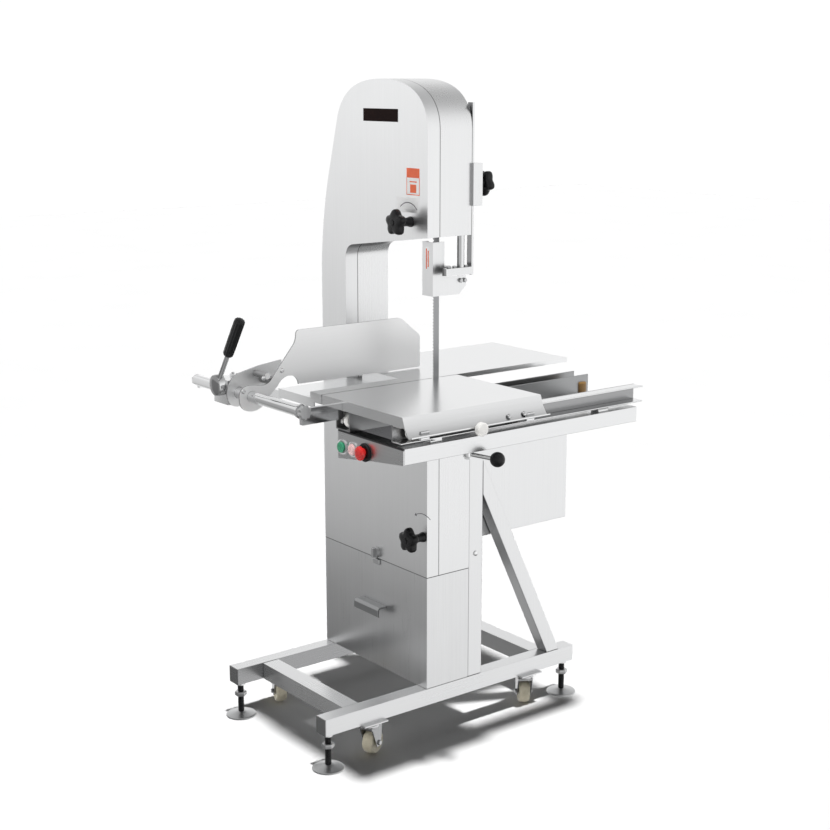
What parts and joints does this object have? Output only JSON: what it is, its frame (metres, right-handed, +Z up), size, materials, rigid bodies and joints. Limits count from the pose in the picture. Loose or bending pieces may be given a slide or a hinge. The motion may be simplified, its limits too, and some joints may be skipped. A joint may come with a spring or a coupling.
{
  "type": "floor-standing bone saw",
  "caption": "Upright stainless butcher's band saw on a welded tube stand with a sliding table, a clamped portioning fence, a hinged door, a waste bin, casters and levelling feet",
  "frame": {"origin": "on the floor, under the centre of the bounding box", "axes": "+X to the operator's right, +Y from the operator's side (front door) to the motor side, +Z up"},
  "size_m": [0.7874, 0.9714, 1.672],
  "materials": {
    "stainless_sheet": "brushed stainless sheet, vertical grain",
    "stainless_tube": "brushed stainless square tube",
    "bright_steel": "polished bright steel bar",
    "blade_steel": "hardened toothed steel band",
    "cast_wheel": "machined cast wheel, bare metal",
    "machined_block": "machined stainless block",
    "zinc_steel": "bright zinc plated steel",
    "foot_steel": "turned stainless steel",
    "black_plastic": "black moulded plastic, fine grain",
    "cream_nylon": "cream nylon",
    "motor_case": "grey painted die-cast aluminium",
    "green_plastic": "green push button plastic",
    "red_plastic": "red push button plastic"
  },
  "bodies": {
    "machine": {"base_rail_left": "stainless_tube", "base_rail_right": "stainless_tube", "base_cross_front": "stainless_tube", "base_cross_rear": "stainless_tube", "post_left": "stainless_tube", "post_right": "stainless_tube", "brace_left": "stainless_tube", "brace_right": "stainless_tube", "table_beam": "stainless_tube", "column_casing": "stainless_sheet", "motor_housing": "stainless_sheet", "motor": "motor_case", "saw_blade": "blade_steel", "control_panel": "stainless_sheet", "frame_rail_left": "stainless_tube", "frame_rail_right": "stainless_tube", "frame_rail_rear": "stainless_tube", "table_rail_left": "stainless_sheet", "table_rail_right": "stainless_sheet", "fixed_table": "stainless_sheet", "fence_rod": "bright_steel"},
    "door": {"front_door": "stainless_sheet"},
    "upper_knob": {"upper_door_knob": "black_plastic"},
    "lower_knob": {"lower_door_knob": "black_plastic"},
    "latch": {"bin_latch": "bright_steel"},
    "bin": {"waste_bin": "stainless_sheet", "bin_handle": "stainless_sheet"},
    "carriage": {"wheel_carriage": "cast_wheel"},
    "top_wheel": {"upper_wheel": "cast_wheel"},
    "tension_screw": {"tension_knob": "black_plastic"},
    "drive_wheel": {"lower_wheel": "cast_wheel", "drive_shaft": "machined_block"},
    "guard": {"blade_guard": "stainless_sheet", "guide_bar": "bright_steel"},
    "guard_lock": {"guide_lock_knob": "black_plastic"},
    "start": {"start_button": "green_plastic"},
    "stop": {"stop_button": "red_plastic"},
    "table": {"sliding_table": "stainless_sheet"},
    "table_stop": {"table_stop_knob": "cream_nylon"},
    "roller_lf": {"left_roller_front": "cream_nylon"},
    "roller_lr": {"left_roller_rear": "cream_nylon"},
    "roller_rf": {"right_roller_front": "cream_nylon"},
    "roller_rr": {"right_roller_rear": "cream_nylon"},
    "table_lock": {"table_lock_lever": "black_plastic"},
    "fence_slider": {"fence_carriage": "machined_block"},
    "fence": {"fence_plate": "stainless_sheet", "fence_arm": "stainless_sheet"},
    "fence_clamp": {"fence_clamp_lever": "black_plastic"},
    "fork_front_left": {"caster_fork_front_left": "zinc_steel"},
    "caster_front_left": {"caster_wheel_front_left": "cream_nylon"},
    "fork_rear_left": {"caster_fork_rear_left": "zinc_steel"},
    "caster_rear_left": {"caster_wheel_rear_left": "cream_nylon"},
    "fork_front_right": {"caster_fork_front_right": "zinc_steel"},
    "caster_front_right": {"caster_wheel_front_right": "cream_nylon"},
    "fork_rear_right": {"caster_fork_rear_right": "zinc_steel"},
    "caster_rear_right": {"caster_wheel_rear_right": "cream_nylon"},
    "foot_front_left_screw": {"foot_front_left": "foot_steel"},
    "foot_rear_left_screw": {"foot_rear_left": "foot_steel"},
    "foot_front_right_screw": {"foot_front_right": "foot_steel"},
    "foot_rear_right_screw": {"foot_rear_right": "foot_steel"}
  },
  "joints": [
    {"name": "door_hinge", "type": "hinge", "parent": "machine", "child": "door", "pos_m": [-0.37281, -0.00626, 0.892], "axis": [0, 0, 1], "range_deg": [-120, 0]},
    {"name": "upper_knob_turn", "type": "hinge", "parent": "door", "child": "upper_knob", "pos_m": [0.01969, -0.06726, 1.332], "axis": [0, 1, 0], "range_deg": [0, 90]},
    {"name": "lower_knob_turn", "type": "hinge", "parent": "door", "child": "lower_knob", "pos_m": [0.06969, -0.06726, 0.544], "axis": [0, 1, 0], "range_deg": [0, 90]},
    {"name": "latch_turn", "type": "hinge", "parent": "door", "child": "latch", "pos_m": [-0.12631, -0.05726, 0.4555], "axis": [0, 1, 0], "range_deg": [0, 90]},
    {"name": "bin_slide", "type": "slide", "parent": "machine", "child": "bin", "axis": [0, -1, 0], "range_m": [0, 0.2]},
    {"name": "tension_slide", "type": "slide", "parent": "machine", "child": "carriage", "axis": [0, 0, 1], "range_m": [-0.012, 0]},
    {"name": "top_wheel_spin", "type": "hinge", "parent": "carriage", "child": "top_wheel", "pos_m": [-0.13431, 0.02474, 1.472], "axis": [0, 1, 0], "continuous": true},
    {"name": "tension_screw_turn", "type": "hinge", "parent": "machine", "child": "tension_screw", "pos_m": [-0.13431, 0.12074, 1.392], "axis": [0, 0, 1], "range_deg": [0, 1442]},
    {"name": "drive_wheel_spin", "type": "hinge", "parent": "machine", "child": "drive_wheel", "pos_m": [-0.13431, 0.02474, 0.632], "axis": [0, 1, 0], "continuous": true},
    {"name": "guard_slide", "type": "slide", "parent": "machine", "child": "guard", "axis": [0, 0, 1], "range_m": [-0.19, 0]},
    {"name": "guard_lock_turn", "type": "hinge", "parent": "machine", "child": "guard_lock", "pos_m": [0.07469, 0.13274, 1.422], "axis": [0, 1, 0], "range_deg": [0, 180]},
    {"name": "start_press", "type": "slide", "parent": "machine", "child": "start", "axis": [0, 1, 0], "range_m": [0, 0.003], "stiffness_N_per_m": 400},
    {"name": "stop_press", "type": "slide", "parent": "machine", "child": "stop", "axis": [0, 1, 0], "range_m": [0, 0.005], "stiffness_N_per_m": 400},
    {"name": "table_slide", "type": "slide", "parent": "machine", "child": "table", "axis": [0, 1, 0], "range_m": [0, 0.33]},
    {"name": "table_stop_turn", "type": "hinge", "parent": "table", "child": "table_stop", "pos_m": [0.38469, -0.12526, 0.892], "axis": [1, 0, 0], "range_deg": [-180, 180]},
    {"name": "roller_lf_spin", "type": "hinge", "parent": "table", "child": "roller_lf", "pos_m": [0.11369, -0.29326, 0.8893], "axis": [1, 0, 0], "range_deg": [-930, 0]},
    {"name": "roller_lr_spin", "type": "hinge", "parent": "table", "child": "roller_lr", "pos_m": [0.11369, 0.05274, 0.8893], "axis": [1, 0, 0], "range_deg": [-930, 0]},
    {"name": "roller_rf_spin", "type": "hinge", "parent": "table", "child": "roller_rf", "pos_m": [0.31769, -0.27226, 0.8933], "axis": [1, 0, 0], "range_deg": [-1141, 0]},
    {"name": "roller_rr_spin", "type": "hinge", "parent": "table", "child": "roller_rr", "pos_m": [0.31769, 0.04274, 0.8933], "axis": [1, 0, 0], "range_deg": [-1141, 0]},
    {"name": "table_lock_turn", "type": "hinge", "parent": "machine", "child": "table_lock", "pos_m": [0.32369, -0.11526, 0.812], "axis": [0, 0, 1], "range_deg": [-70, 12]},
    {"name": "fence_slide", "type": "slide", "parent": "machine", "child": "fence_slider", "axis": [1, 0, 0], "range_m": [-0.1, 0.11]},
    {"name": "fence_lift", "type": "hinge", "parent": "fence_slider", "child": "fence", "pos_m": [-0.20431, -0.43226, 0.926], "axis": [1, 0, 0], "range_deg": [0, 25]},
    {"name": "fence_clamp_turn", "type": "hinge", "parent": "fence_slider", "child": "fence_clamp", "pos_m": [-0.20031, -0.47226, 0.944], "axis": [0, 1, 0], "range_deg": [-90, 0]},
    {"name": "fork_front_left_swivel", "type": "hinge", "parent": "machine", "child": "fork_front_left", "pos_m": [-0.34631, -0.21526, 0.084], "axis": [0, 0, 1], "continuous": true},
    {"name": "caster_front_left_roll", "type": "hinge", "parent": "fork_front_left", "child": "caster_front_left", "pos_m": [-0.35938, -0.21024, 0.032], "axis": [0.3584, 0.9336, 0], "continuous": true},
    {"name": "fork_rear_left_swivel", "type": "hinge", "parent": "machine", "child": "fork_rear_left", "pos_m": [-0.34631, 0.30774, 0.084], "axis": [0, 0, 1], "continuous": true},
    {"name": "caster_rear_left_roll", "type": "hinge", "parent": "fork_rear_left", "child": "caster_rear_left", "pos_m": [-0.35434, 0.31921, 0.032], "axis": [0.8192, 0.5736, 0], "continuous": true},
    {"name": "fork_front_right_swivel", "type": "hinge", "parent": "machine", "child": "fork_front_right", "pos_m": [0.06569, -0.21526, 0.084], "axis": [0, 0, 1], "continuous": true},
    {"name": "caster_front_right_roll", "type": "hinge", "parent": "fork_front_right", "child": "caster_front_right", "pos_m": [0.06045, -0.20228, 0.032], "axis": [0.9272, 0.3746, 0], "continuous": true},
    {"name": "fork_rear_right_swivel", "type": "hinge", "parent": "machine", "child": "fork_rear_right", "pos_m": [0.06569, 0.30774, 0.084], "axis": [0, 0, 1], "continuous": true},
    {"name": "caster_rear_right_roll", "type": "hinge", "parent": "fork_rear_right", "child": "caster_rear_right", "pos_m": [0.05382, 0.31516, 0.032], "axis": [0.5299, 0.848, 0], "continuous": true},
    {"name": "foot_front_left_adjust", "type": "slide", "parent": "machine", "child": "foot_front_left_screw", "axis": [0, 0, 1], "range_m": [0, 0.01]},
    {"name": "foot_rear_left_adjust", "type": "slide", "parent": "machine", "child": "foot_rear_left_screw", "axis": [0, 0, 1], "range_m": [0, 0.01]},
    {"name": "foot_front_right_adjust", "type": "slide", "parent": "machine", "child": "foot_front_right_screw", "axis": [0, 0, 1], "range_m": [0, 0.01]},
    {"name": "foot_rear_right_adjust", "type": "slide", "parent": "machine", "child": "foot_rear_right_screw", "axis": [0, 0, 1], "range_m": [0, 0.01]}
  ],
  "couplings": [
    {"joint": "top_wheel_spin", "follows": "drive_wheel_spin", "ratio": 1},
    {"joint": "tension_screw_turn", "follows": "tension_slide", "rad_per_m": -2094.4},
    {"joint": "roller_lf_spin", "follows": "table_slide", "rad_per_m": -49.02},
    {"joint": "roller_lr_spin", "follows": "table_slide", "rad_per_m": -49.02},
    {"joint": "roller_rf_spin", "follows": "table_slide", "rad_per_m": -60.241},
    {"joint": "roller_rr_spin", "follows": "table_slide", "rad_per_m": -60.241}
  ]
}
